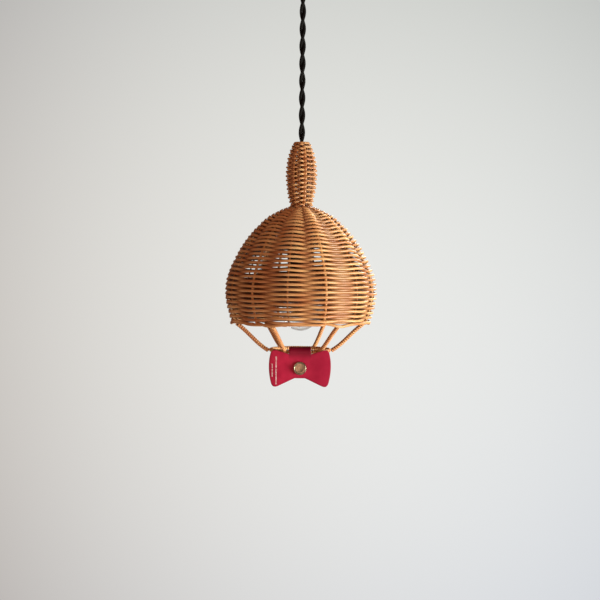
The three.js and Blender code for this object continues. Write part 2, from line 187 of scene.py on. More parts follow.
# ---------------------------------------------------------------- node trees
class Builder:
    """Adds nodes to one tree and joins their sockets."""

    def __init__(self, tree):
        self.tree = tree

    def feed(self, socket, value):
        if isinstance(value, bpy.types.Node):
            value = value.outputs[0]
        if isinstance(value, bpy.types.NodeSocket):
            self.tree.links.new(value, socket)
        elif value is not None:
            socket.default_value = value

    def add(self, kind, *values, inputs=None, **settings):
        node = self.tree.nodes.new(kind)
        for key, value in settings.items():
            setattr(node, key, value)
        for key, value in enumerate(values):
            self.feed(node.inputs[key], value)
        for key, value in (inputs or {}).items():
            self.feed(node.inputs[key], value)
        return node

    def math(self, operation, *values, clamp=False):
        return self.add("ShaderNodeMath", *values, operation=operation, use_clamp=clamp).outputs[0]

    def plus(self, a, b):
        return self.math("ADD", a, b)

    def minus(self, a, b):
        return self.math("SUBTRACT", a, b)

    def times(self, a, b):
        return self.math("MULTIPLY", a, b)

    def vector(self, operation, *values):
        node = self.add("ShaderNodeVectorMath", operation=operation)
        for socket, value in zip(node.inputs, values):
            self.feed(socket, value)
        return node.outputs["Value" if operation in ("LENGTH", "DOT_PRODUCT") else "Vector"]

    def scaled(self, vector, factor):
        node = self.add("ShaderNodeVectorMath", operation="SCALE", inputs={0: vector, "Scale": factor})
        return node.outputs[0]

    def combine(self, x, y, z):
        return self.add("ShaderNodeCombineXYZ", x, y, z).outputs[0]

    def separate(self, vector):
        return self.add("ShaderNodeSeparateXYZ", vector).outputs

    def ranged(self, value, low, high, to_low, to_high, smooth=False):
        kind = "SMOOTHSTEP" if smooth else "LINEAR"
        node = self.add("ShaderNodeMapRange", value, low, high, to_low, to_high, interpolation_type=kind)
        return node.outputs[0]

    def noise(self, vector, scale, detail=2, w=None):
        node = self.add("ShaderNodeTexNoise", noise_dimensions="3D" if w is None else "4D")
        named = {"Vector": vector, "Scale": scale, "Detail": detail}
        if w is not None:
            named["W"] = w
        for key, value in named.items():
            self.feed(node.inputs[key], value)
        return node

    def mix(self, factor, a, b, blend="MIX"):
        node = self.add("ShaderNodeMix", data_type="RGBA", blend_type=blend)
        for key, value in ((0, factor), (6, a), (7, b)):
            self.feed(node.inputs[key], value)
        return node.outputs[2]


def geometry_tree(name, sockets):
    """A Geometry Nodes tree with named inputs. Returns its builder and its inputs by name."""
    tree = bpy.data.node_groups.new(name, "GeometryNodeTree")
    tree.interface.new_socket(name="Geometry", in_out="OUTPUT", socket_type="NodeSocketGeometry")
    for key, kind in {"Geometry": "Geometry", **sockets}.items():
        tree.interface.new_socket(name=key, in_out="INPUT", socket_type="NodeSocket" + kind)
    build = Builder(tree)
    return build, build.add("NodeGroupInput").outputs


def close_tree(build, geometry, material):
    """Ends a tree in Realize Instances and Set Material."""
    real = build.add("GeometryNodeRealizeInstances", geometry)
    painted = build.add("GeometryNodeSetMaterial", inputs={"Geometry": real, "Material": material})
    build.add("NodeGroupOutput", painted)


def store(build, geometry, name, value, kind="FLOAT"):
    node = build.add("GeometryNodeStoreNamedAttribute", data_type=kind, domain="POINT")
    for key, item in (("Geometry", geometry), ("Name", name), ("Value", value)):
        build.feed(node.inputs[key], item)
    return node


def strand_mesh(build, curve, radius, sides, inset=None):
    """A round strand on a curve, with its own length and section kept for the fibre pattern."""
    curve = build.add("GeometryNodeSetCurveRadius", inputs={"Curve": curve, "Radius": radius})
    run = build.add("GeometryNodeSplineParameter").outputs["Length"]
    curve = store(build, curve, "along", run)
    if inset is not None:
        curve = store(build, curve, "inset", inset)
    ring = build.add("GeometryNodeCurvePrimitiveCircle", inputs={"Resolution": sides, "Radius": 1.0})
    ring = store(build, ring, "section", build.add("GeometryNodeInputPosition"), "FLOAT_VECTOR")
    mesh = build.add("GeometryNodeCurveToMesh", inputs={
        "Curve": curve, "Profile Curve": ring, "Scale": radius, "Fill Caps": True})
    along = build.add("GeometryNodeInputNamedAttribute", "along", data_type="FLOAT").outputs[0]
    section = build.add("GeometryNodeInputNamedAttribute", "section", data_type="FLOAT_VECTOR").outputs[0]
    part = build.separate(section)
    grain = build.combine(along, build.times(part[0], MM), build.times(part[1], MM))
    return store(build, mesh, "grain", grain, "FLOAT_VECTOR")


def weaving_tree():
    """One long strand that winds round a profile and passes in front of and behind its stakes."""
    build, given = geometry_tree("woven_strand", {
        "Rows": "Int", "Steps": "Int", "Stakes": "Int", "First stake": "Float", "Radius": "Float",
        "Swing": "Float", "Start swing": "Float", "Grow": "Float", "Slack": "Float", "Wander": "Float",
        "Proud": "Float", "Seed": "Float", "Sides": "Int", "Material": "Material",
    })
    profile = build.add("GeometryNodeMeshToCurve", given["Geometry"])
    steps = build.times(given["Rows"], given["Steps"])
    line = build.add("GeometryNodeMeshLine", build.plus(steps, 1))
    index = build.add("GeometryNodeInputIndex").outputs[0]
    factor = build.math("DIVIDE", index, steps)
    turns = build.math("DIVIDE", index, given["Steps"])
    spot = build.add("GeometryNodeSampleCurve", mode="FACTOR", inputs={"Curves": profile, "Factor": factor})
    here = build.separate(spot.outputs["Position"])
    slope = build.separate(spot.outputs["Tangent"])

    from_first = build.minus(turns, given["First stake"])
    whole = build.math("FLOOR", from_first)
    spacing = build.times(build.minus(from_first, whole), given["Stakes"])
    crossings = build.minus(given["Stakes"], 1)
    held = build.math("MINIMUM", spacing, crossings)
    crossed = build.plus(build.times(whole, crossings), held)
    phase = build.times(crossed, math.pi)
    past = build.math("MAXIMUM", build.minus(spacing, crossings), 0)
    skip = build.times(past, math.pi)
    dip = build.minus(1, build.times(build.math("SINE", skip), given["Slack"]))
    wave = build.times(build.math("COSINE", phase), dip)

    swing = build.ranged(factor, 0, given["Grow"], given["Start swing"], given["Swing"], smooth=True)
    moment = build.plus(build.times(turns, 2.3), given["Seed"])
    drift = build.noise(spot.outputs["Position"], 9, 1, w=moment)
    loose = build.separate(build.vector("SUBTRACT", drift.outputs["Color"], (0.5, 0.5, 0.5)))
    depth = build.minus(build.plus(swing, given["Radius"]), given["Proud"])
    out = build.minus(build.times(wave, swing), depth)
    out = build.plus(out, build.times(loose[0], given["Wander"]))
    radius = build.minus(here[0], build.times(out, slope[2]))
    height = build.plus(here[2], build.times(out, slope[0]))
    height = build.plus(height, build.times(loose[1], given["Wander"]))
    angle = build.times(turns, math.tau)
    x = build.times(radius, build.math("SINE", angle))
    y = build.times(radius, build.times(build.math("COSINE", angle), -1))
    # How far the strand dips inward, which the cane material turns into painted shade.
    line = store(build, line, "inset", build.ranged(wave, -1, 1, 1, 0))
    placed = build.add("GeometryNodeSetPosition", inputs={
        "Geometry": line, "Position": build.combine(x, y, height)})
    curve = build.add("GeometryNodeMeshToCurve", placed)
    thick = build.times(given["Radius"], build.ranged(loose[2], -0.3, 0.3, 0.93, 1.05))
    close_tree(build, strand_mesh(build, curve, thick, given["Sides"]), given["Material"])
    return build.tree


def rod_tree():
    """A round cane rod or wire along the edges of its mesh."""
    build, given = geometry_tree("cane_rod", {
        "Radius": "Float", "Step": "Float", "Wander": "Float", "Sides": "Int", "Material": "Material",
    })
    curve = build.add("GeometryNodeMeshToCurve", given["Geometry"])
    curve = build.add("GeometryNodeResampleCurve", mode="LENGTH", inputs={
        "Curve": curve, "Length": given["Step"]})
    where = build.add("GeometryNodeInputPosition")
    drift = build.vector("SUBTRACT", build.noise(where, 70, 1).outputs["Color"], (0.5, 0.5, 0.5))
    curve = build.add("GeometryNodeSetPosition", inputs={
        "Geometry": curve, "Offset": build.scaled(drift, given["Wander"])})
    close_tree(build, strand_mesh(build, curve, given["Radius"], given["Sides"]), given["Material"])
    return build.tree


def binding_tree():
    """A flat strip of split cane wound tightly round a path."""
    build, given = geometry_tree("wound_strip", {
        "Core": "Float", "Half width": "Float", "Half thickness": "Float", "Turns": "Int", "Steps": "Int",
        "Sides": "Int", "Material": "Material",
    })
    path = build.add("GeometryNodeMeshToCurve", given["Geometry"])
    count = build.times(given["Turns"], given["Steps"])
    columns, rows = build.plus(count, 1), build.plus(given["Sides"], 1)
    grid = build.add("GeometryNodeMeshGrid", 1.0, 1.0, columns, rows)
    place = build.separate(build.add("GeometryNodeInputPosition"))
    factor = build.plus(place[0], 0.5)
    round_strip = build.times(build.plus(place[1], 0.5), math.tau)
    turn = build.times(build.times(factor, given["Turns"]), math.tau)
    spot = build.add("GeometryNodeSampleCurve", mode="FACTOR", inputs={"Curves": path, "Factor": factor})
    tangent = spot.outputs["Tangent"]
    normal = spot.outputs["Normal"]
    side = build.vector("CROSS_PRODUCT", tangent, normal)
    outward = build.vector("ADD", build.scaled(normal, build.math("COSINE", turn)),
                           build.scaled(side, build.math("SINE", turn)))
    from_end = build.minus(0.5, build.math("ABSOLUTE", place[0]))
    taper = build.math("DIVIDE", build.times(from_end, count), 4, clamp=True)
    across = build.times(build.math("COSINE", round_strip), given["Half width"])
    rise = build.times(build.math("SINE", round_strip), given["Half thickness"])
    reach = build.plus(build.plus(given["Core"], given["Half thickness"]),
                       build.times(rise, taper))
    offset = build.vector("ADD", build.scaled(tangent, build.times(across, taper)),
                          build.scaled(outward, reach))
    grain = build.combine(build.times(turn, given["Core"]), across, rise)
    kept = store(build, grid, "grain", grain, "FLOAT_VECTOR")
    bent = build.add("GeometryNodeSetPosition", inputs={
        "Geometry": kept, "Position": build.vector("ADD", spot.outputs["Position"], offset)})
    closed = build.add("GeometryNodeMergeByDistance", inputs={"Geometry": bent, "Distance": 1e-6})
    close_tree(build, closed, given["Material"])
    return build.tree


def grow(name, points, tree, values, closed=False, lines=None):
    """Runs a tree on a path of points, or on several, and keeps the result as a plain mesh object."""
    lines = lines or [points]
    vertices = [p for line in lines for p in line]
    edges = []
    start = 0
    for line in lines:
        edges += [(start + i, start + i + 1) for i in range(len(line) - 1)]
        if closed:
            edges.append((start + len(line) - 1, start))
        start += len(line)
    mesh = bpy.data.meshes.new(name)
    mesh.from_pydata(vertices, edges, [])
    made = bpy.data.objects.new(name, mesh)
    bpy.context.scene.collection.objects.link(made)
    modifier = made.modifiers.new("grow", "NODES")
    modifier.node_group = tree
    sockets = {s.name: s.identifier for s in tree.interface.items_tree if s.in_out == "INPUT"}
    for key, value in values.items():
        modifier[sockets[key]] = value
    return plain(made)


def plain(made, sharp=60):
    """Turns an object's modifiers into its own mesh, with its faces outwards and smooth."""
    bpy.context.view_layer.update()
    evaluated = made.evaluated_get(bpy.context.evaluated_depsgraph_get())
    mesh = bpy.data.meshes.new_from_object(evaluated)
    made.modifiers.clear()
    old = made.data
    made.data = mesh
    bpy.data.meshes.remove(old)
    mesh.name = made.name
    face_out(mesh)
    mesh.shade_smooth()
    mesh.set_sharp_from_angle(angle=math.radians(sharp))
    return made


def face_out(mesh):
    work = bmesh.new()
    work.from_mesh(mesh)
    bmesh.ops.recalc_face_normals(work, faces=work.faces)
    work.to_mesh(mesh)
    work.free()


# ---------------------------------------------------------------- materials
def shader_group(name, sockets, results):
    tree = bpy.data.node_groups.new(name, "ShaderNodeTree")
    for key, (kind, default) in sockets.items():
        socket = tree.interface.new_socket(name=key, in_out="INPUT", socket_type="NodeSocket" + kind)
        if default is not None:
            socket.default_value = default
    for key, kind in results.items():
        tree.interface.new_socket(name=key, in_out="OUTPUT", socket_type="NodeSocket" + kind)
    build = Builder(tree)
    return build, build.add("NodeGroupInput").outputs


def cane_fibre_group():
    """Long fibres and tone changes from strand to strand of lacquered cane, with painted shade on the
    strands that dip inward behind the stakes.
    """
    build, given = shader_group("cane_fibre", {
        "Grain": ("Vector", None), "Place": ("Vector", None), "Inset": ("Float", 0.0),
        "Light": ("Color", None), "Dark": ("Color", None),
    }, {"Color": "Color", "Roughness": "Float", "Height": "Float"})
    stretched = build.vector("MULTIPLY", given["Grain"], (60, 2600, 2600))
    fibre = build.noise(stretched, 1, 3).outputs[0]
    parts = build.separate(given["Grain"])
    tone = build.noise(build.combine(build.times(parts[0], 11), 0, 0), 1, 2).outputs[0]
    patch = build.noise(given["Place"], 45, 2).outputs[0]
    shade = build.plus(build.times(fibre, 0.55), build.times(tone, 0.75))
    shade = build.plus(shade, build.times(patch, 0.35))
    shade = build.ranged(shade, 0.58, 1.05, 0, 1, smooth=True)
    # Painted shade: strands that dip inward behind a stake are darkened.
    shade = build.times(shade, build.ranged(given["Inset"], 0.15, 0.85, 1, 0.45))
    tint = build.mix(shade, given["Dark"], given["Light"])
    # More painted shade: the deepest recesses are mixed towards near black, as if occluded.
    tint = build.mix(build.ranged(given["Inset"], 0.3, 0.9, 0, 0.92), tint, (0.03, 0.009, 0.004, 1))
    rough = build.ranged(fibre, 0.3, 0.7, 0.52, 0.34)
    build.add("NodeGroupOutput", tint, rough, fibre)
    return build.tree


def wear_group():
    """Cloudy tarnish and fine scratches on metal."""
    build, given = shader_group("metal_wear", {
        "Place": ("Vector", None), "Bright": ("Color", None), "Tarnish": ("Color", None),
        "Amount": ("Float", 0.5),
    }, {"Color": "Color", "Roughness": "Float", "Height": "Float"})
    cloud = build.noise(given["Place"], 420, 4).outputs[0]
    scratch = build.noise(build.vector("MULTIPLY", given["Place"], (3500, 300, 3000)), 1, 2).outputs[0]
    mask = build.ranged(cloud, 0.38, 0.66, 0, 1, smooth=True)
    mask = build.times(mask, given["Amount"])
    tint = build.mix(mask, given["Bright"], given["Tarnish"])
    rough = build.plus(build.ranged(scratch, 0.3, 0.7, 0.2, 0.34), build.times(mask, 0.2))
    build.add("NodeGroupOutput", tint, rough, scratch)
    return build.tree


def speckle_group():
    """Fine moulded or glazed surface grain with a slight change of tone."""
    build, given = shader_group("surface_grain", {
        "Place": ("Vector", None), "Tone": ("Color", None), "Scale": ("Float", 1500.0),
        "Roughness": ("Float", 0.4),
    }, {"Color": "Color", "Roughness": "Float", "Height": "Float"})
    fine = build.noise(given["Place"], given["Scale"], 2).outputs[0]
    broad = build.noise(given["Place"], 60, 2).outputs[0]
    tint = build.scaled(given["Tone"], build.ranged(broad, 0.3, 0.7, 0.8, 1.2))
    rough = build.plus(given["Roughness"], build.ranged(fine, 0.3, 0.7, -0.06, 0.06))
    build.add("NodeGroupOutput", tint, rough, fine)
    return build.tree


def start_material(name, **settings):
    """A material with one Principled shader, and the builder of its tree."""
    made = bpy.data.materials.new(name)
    made.use_nodes = True
    shader = made.node_tree.nodes["Principled BSDF"]
    for key, value in settings.items():
        shader.inputs[key.replace("_", " ")].default_value = value
    return made, Builder(made.node_tree), shader


def place_of(build):
    return build.add("ShaderNodeTexCoord").outputs["Object"]


def attribute(build, name, output="Vector"):
    return build.add("ShaderNodeAttribute", attribute_name=name).outputs[output]


def wire(build, shader, group, bump, distance):
    """Joins a pattern group's colour, roughness and height to the shader."""
    build.feed(shader.inputs["Base Color"], group.outputs["Color"])
    build.feed(shader.inputs["Roughness"], group.outputs["Roughness"])
    relief = build.add("ShaderNodeBump", inputs={
        "Strength": bump, "Distance": distance, "Height": group.outputs["Height"]})
    build.feed(shader.inputs["Normal"], relief)


def grouped(build, tree, values):
    node = build.add("ShaderNodeGroup", node_tree=tree)
    for key, value in values.items():
        build.feed(node.inputs[key], value)
    return node


def rgba(tone):
    return (*tone, 1.0)


def toned(tone, factor):
    """A colour made lighter or darker."""
    return tuple(min(1.0, factor * c) for c in tone)


def cane_material(name, tree, light, dark, coat, band=None):
    """Lacquered cane. A band is the half width of a wound strip; towards its edges, where the turns meet,
    the strip gets painted shade.
    """
    made, build, shader = start_material(
        name, Coat_Weight=coat, Coat_Roughness=0.25, Specular_IOR_Level=0.4
    )
    # How far the weave's strand dips inward, used for painted shade in the recesses.
    inset = attribute(build, "inset", "Fac")
    if band:
        side = build.math("ABSOLUTE", build.separate(attribute(build, "grain"))[1])
        # Painted shade: the wound strip darkens towards its edges, in the groove between turns.
        inset = build.ranged(side, 0.4 * band, band, 0, 0.9)
    group = grouped(build, tree, {
        "Grain": attribute(build, "grain"), "Place": place_of(build), "Inset": inset,
        "Light": rgba(light), "Dark": rgba(dark),
    })
    wire(build, shader, group, 0.35, 0.00012)
    return made


def metal_material(name, tree, bright, tarnish, amount):
    made, build, shader = start_material(name, Metallic=1.0)
    group = grouped(build, tree, {
        "Place": place_of(build), "Bright": rgba(bright), "Tarnish": rgba(tarnish), "Amount": amount})
    wire(build, shader, group, 0.12, 0.00005)
    return made


def grained_material(name, tree, tone, roughness, scale, bump, **settings):
    made, build, shader = start_material(name, **settings)
    group = grouped(build, tree, {
        "Place": place_of(build), "Tone": rgba(tone), "Scale": scale, "Roughness": roughness})
    wire(build, shader, group, bump, 0.0001)
    return made


def cloth_material(name, tone):
    """Braided cotton: crossing yarns along and round each core."""
    made, build, shader = start_material(name, Specular_IOR_Level=0.15)
    parts = build.separate(attribute(build, "grain"))
    angle = build.times(build.math("ARCTAN2", parts[2], parts[1]), 6)
    run = build.times(parts[0], 2600)
    left = build.math("SINE", build.plus(run, angle))
    right = build.math("SINE", build.minus(run, angle))
    yarn = build.math("ABSOLUTE", build.times(left, right))
    fuzz = build.noise(place_of(build), 2500, 2).outputs[0]
    height = build.plus(yarn, build.times(fuzz, 0.4))
    # Painted shade and highlight: raised yarns are lighter and the hollows between them darker, mixed with
    # random fuzz.
    tint = build.mix(build.ranged(height, 0.1, 1.2, 0, 1), rgba(tone), rgba(toned(tone, 2.2)))
    build.feed(shader.inputs["Base Color"], tint)
    build.feed(shader.inputs["Roughness"], build.ranged(yarn, 0, 1, 0.95, 0.7))
    relief = build.add("ShaderNodeBump", inputs={"Strength": 0.8, "Distance": 0.00025, "Height": height})
    build.feed(shader.inputs["Normal"], relief)
    return made


def printed_dashes(build, x, y, z):
    """A mask of plain dashes in lines down the left of the tag's front."""
    marks = []
    for centre, half_width, low, high, dash in PRINTED_LINES:
        along = build.combine(0, 0, build.times(z, dash))
        wave = build.noise(along, 1, 1, w=centre * 900).outputs[0]
        stroke = build.math("SINE", build.times(z, 3.6 * dash))
        reach = build.ranged(wave, 0.35, 0.65, 0.45 * half_width, 1.35 * half_width)
        off = build.math("ABSOLUTE", build.minus(x, centre))
        inside = build.math("LESS_THAN", off, reach)
        for test, limit in (("GREATER_THAN", low), ("LESS_THAN", high)):
            inside = build.times(inside, build.math(test, z, limit))
        beat = build.math("GREATER_THAN", build.plus(stroke, build.times(wave, 2)), 0.55)
        from_break = build.math("ABSOLUTE", build.minus(z, PRINT_BREAK_Z))
        space = build.math("GREATER_THAN", from_break, 0.0005)
        marks.append(build.times(build.times(inside, beat), space))
    front = build.math("LESS_THAN", y, -0.0343)
    return build.times(build.math("MAXIMUM", *marks), front)


def leather_material(name, tone):
    """Smooth dyed leather: pebbled grain, darker rubbed edges, painted shade at the tab's fold and towards
    its right side, and plain printed dashes.
    """
    made, build, shader = start_material(name, Specular_IOR_Level=0.2)
    place = place_of(build)
    pebble = build.add("ShaderNodeTexVoronoi", feature="SMOOTH_F1", inputs={
        "Vector": place, "Scale": 1500.0})
    pore = build.noise(place, 3200, 2).outputs[0]
    cloud = build.noise(place, 90, 3).outputs[0]
    rim = attribute(build, "edge", "Fac")
    deep = toned(tone, 0.5)
    worn = tuple(min(1.0, 1.25 * c + 0.008) for c in tone)
    tint = build.mix(build.ranged(cloud, 0.35, 0.65, 0, 1), rgba(tone), rgba(worn))
    tint = build.mix(build.times(rim, 0.6), tint, rgba(deep))
    x, y, z = build.separate(place)[:3]
    # Painted shade: the leather darkens towards its right side.
    tint = build.mix(build.ranged(x, -0.02, 0.02, 0, 0.42, smooth=True), tint, rgba(deep))
    dashes = build.times(printed_dashes(build, x, y, z), 0.9)
    tint = build.mix(dashes, tint, (0.95, 0.86, 0.86, 1))
    # Painted shade at the top of the tab, where it folds back over the ring's bar.
    on_tab = build.math("LESS_THAN", build.math("ABSOLUTE", x), 0.0109)
    fold = build.times(build.ranged(z, -0.4155, -0.407, 0, 0.72, smooth=True), on_tab)
    tint = build.mix(fold, tint, rgba(toned(tone, 0.3)))
    build.feed(shader.inputs["Base Color"], tint)
    build.feed(shader.inputs["Roughness"], build.ranged(pebble.outputs["Distance"], 0, 0.6, 0.58, 0.44))
    height = build.plus(pebble.outputs["Distance"], build.times(pore, 0.5))
    relief = build.add("ShaderNodeBump", inputs={"Strength": 0.3, "Distance": 0.00012, "Height": height})
    build.feed(shader.inputs["Normal"], relief)
    return made


def glass_material(name):
    """Thin clear glass, with a trace of film, that shows most at its edges."""
    made, build, shader = start_material(
        name, Transmission_Weight=1.0, IOR=1.45, Base_Color=(1.0, 0.98, 0.94, 1)
    )
    film = build.noise(place_of(build), 55, 2).outputs[0]
    facing = build.add("ShaderNodeLayerWeight").outputs["Facing"]
    build.feed(shader.inputs["Alpha"], build.ranged(facing, 0.5, 1, 0.1, 0.42))
    build.feed(shader.inputs["Roughness"], build.ranged(film, 0.4, 0.7, 0.0, 0.035))
    return made


PAINT = {}


def make_materials(finish, binding_pitch):
    """Builds every material once, from the colours in the panel."""
    fibre, wear, speckle = cane_fibre_group(), wear_group(), speckle_group()
    light, dark, stake = finish.cane_light, finish.cane_dark, finish.stake_tone
    canes = {
        "weave": ("lacquered_cane", light, dark, 0.2),
        # Painted shade: the neck is a darker copy of the dome's cane, standing in for the shadows between
        # its thinner strands.
        "neck": ("neck_cane", toned(light, 0.84), toned(dark, 0.84), 0.2),
        "stake": ("stake_cane", stake, toned(stake, 0.4), 0.1),
        "border": ("border_cane", toned(light, 0.95), dark, 0.2),
        "binding": ("split_cane", toned(light, 1.12), toned(dark, 1.3), 0.25, 0.5 * binding_pitch),
    }
    metals = {
        "old_brass": ("antique_brass", finish.old_brass, (0.2, 0.165, 0.11), 0.5),
        "brass": ("bright_brass", (0.72, 0.52, 0.24), (0.38, 0.25, 0.1), 0.3),
        "steel": ("zinc_steel", (0.58, 0.59, 0.61), (0.34, 0.35, 0.37), 0.4),
        "tungsten": ("drawn_wire", (0.32, 0.32, 0.33), (0.2, 0.2, 0.21), 0.3),
    }
    # Name, tone, roughness, scale of the grain and strength of its bump.
    grained = {
        "plastic": ("moulded_plastic", (0.022, 0.022, 0.023), 0.42, 1500, 0.25),
        "insulation": ("core_insulation", (0.3, 0.32, 0.35), 0.45, 1100, 0.1),
        "black_glass": ("fused_black_glass", (0.012, 0.012, 0.014), 0.14, 900, 0.05),
    }
    for key, (name, *values) in canes.items():
        PAINT[key] = cane_material(name, fibre, *values)
    for key, (name, *values) in metals.items():
        PAINT[key] = metal_material(name, wear, *values)
    for key, (name, *values) in grained.items():
        PAINT[key] = grained_material(name, speckle, *values)
    glaze = (0.78, 0.76, 0.7)
    PAINT["ceramic"] = grained_material("glazed_ceramic", speckle, glaze, 0.25, 700, 0.08, Coat_Weight=0.4)
    PAINT["cloth"] = cloth_material("braided_cloth", finish.cloth)
    PAINT["leather"] = leather_material("dyed_leather", finish.leather)
    PAINT["glass"] = glass_material("clear_glass")


# ---------------------------------------------------------------- shapes
def spline(points, steps):
    """A smooth line through points, with this many steps in all."""
    points = [Vector(p) for p in points]
    last = len(points) - 1
    line = []
    for k in range(steps + 1):
        t = last * k / steps
        i = min(int(t), last - 1)
        f = t - i
        a, b, c, d = (points[min(max(i + j, 0), last)] for j in (-1, 0, 1, 2))
        line.append(0.5 * ((2 * b) + (c - a) * f + (2 * a - 5 * b + 4 * c - d) * f * f
                           + (3 * b - a - 3 * c + d) * f ** 3))
    return line


def around(degrees, radius, z):
    """A point by angle from the front, turning towards +X. Millimetres in, metres out."""
    angle = math.radians(degrees)
    return Vector((radius * math.sin(angle), -radius * math.cos(angle), z)) * MM


def wall_point(line, t, depth):
    """A point at a depth under the outline, as radius and height."""
    at = t * (len(line) - 1)
    i = min(int(at), len(line) - 2)
    here = line[i].lerp(line[i + 1], at - i)
    along = (line[min(i + 2, len(line) - 1)] - line[max(i - 1, 0)]).normalized()
    return here.x + depth * along.y, here.y - depth * along.x


def fillet(profile, radius, steps=4, closed=False):
    """Rounds the corners of a profile of radius and height points."""
    points = [Vector(p) for p in profile]
    count = len(points)
    made = []
    for i, p in enumerate(points):
        if not closed and i in (0, count - 1):
            made.append(p)
            continue
        before, after = points[i - 1] - p, points[(i + 1) % count] - p
        reach = min(radius, 0.45 * before.length, 0.45 * after.length)
        a, b = p + before.normalized() * reach, p + after.normalized() * reach
        for k in range(steps + 1):
            f = k / steps
            made.append(a * (1 - f) ** 2 + p * 2 * f * (1 - f) + b * f * f)
    return made


def turned(name, profile, paint, body, replaced, segments=64, turn=None, closed=False, sharp=35):
    """A turned piece about Z from a profile in millimetres, then placed by a matrix."""
    work = bmesh.new()
    rings = []
    for p in profile:
        radius, z = p[0] * MM, p[1] * MM
        if radius < 1e-7:
            rings.append([work.verts.new((0, 0, z))])
            continue
        rings.append([
            work.verts.new((radius * math.cos(a), radius * math.sin(a), z))
            for a in (math.tau * k / segments for k in range(segments))
        ])
    pairs = list(zip(rings, rings[1:])) + ([(rings[-1], rings[0])] if closed else [])
    for low, high in pairs:
        for k in range(segments):
            n = (k + 1) % segments
            corners = [low[k % len(low)], low[n % len(low)], high[n % len(high)], high[k % len(high)]]
            corners = list(dict.fromkeys(corners))
            if len(corners) > 2:
                work.faces.new(corners)
    bmesh.ops.recalc_face_normals(work, faces=work.faces)
    mesh = bpy.data.meshes.new(name)
    work.to_mesh(mesh)
    work.free()
    if turn is not None:
        mesh.transform(turn)
    mesh.shade_smooth()
    mesh.set_sharp_from_angle(angle=math.radians(sharp))
    made = bpy.data.objects.new(name, mesh)
    bpy.context.scene.collection.objects.link(made)
    mesh.materials.append(PAINT[paint])
    return settle(made, body, replaced)


def settle(made, body, replaced):
    """Puts a finished piece on its body, and hides the nodes it stands for."""
    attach(made, body)
    if replaced:
        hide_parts(*([replaced] if isinstance(replaced, str) else replaced))
    return made


def stake_line(degrees):
    """Middle line of a stake through neck and dome."""
    neck, dome = spline(NECK_OUTLINE, 120), spline(DOME_OUTLINE, 160)
    ways = [wall_point(neck, share, depth) for share, depth in zip(NECK_STAKE_SHARES, NECK_STAKE_DEPTHS)]
    ways += WAIST_LINE
    ways += [wall_point(dome, share, DOME_STAKE_DEPTH) for share in DOME_STAKE_SHARES]
    return [around(degrees, radius, z) for radius, z in ways]


def border_line(start):
    """The folded end of a stake: along the rim, dipping under the next stake, then tucked in."""
    points = [around(start - 1.6, BORDER_RADIUS + 0.5, BORDER_Z + 1.7)]
    for k in range(BORDER_POINTS):
        share = k / (BORDER_POINTS - 1)
        dip = math.exp(-((share - 0.74) / 0.14) ** 2)
        tuck = max(0.0, share - 0.85) / 0.15
        radius = BORDER_RADIUS + 0.7 + 0.5 * dip - 2.4 * tuck
        z = BORDER_Z + 1.7 - 1.9 * dip + 1.2 * tuck
        points.append(around(start - 5 - BORDER_SWEEP * share, radius, z))
    return points


# ---------------------------------------------------------------- operators
class CaneLampOperator:
    """Shared parts of the operators."""

    bl_options = {"REGISTER", "UNDO"}

    def settings(self, context):
        return context.scene.cane_lamp_weave, context.scene.cane_lamp_finish


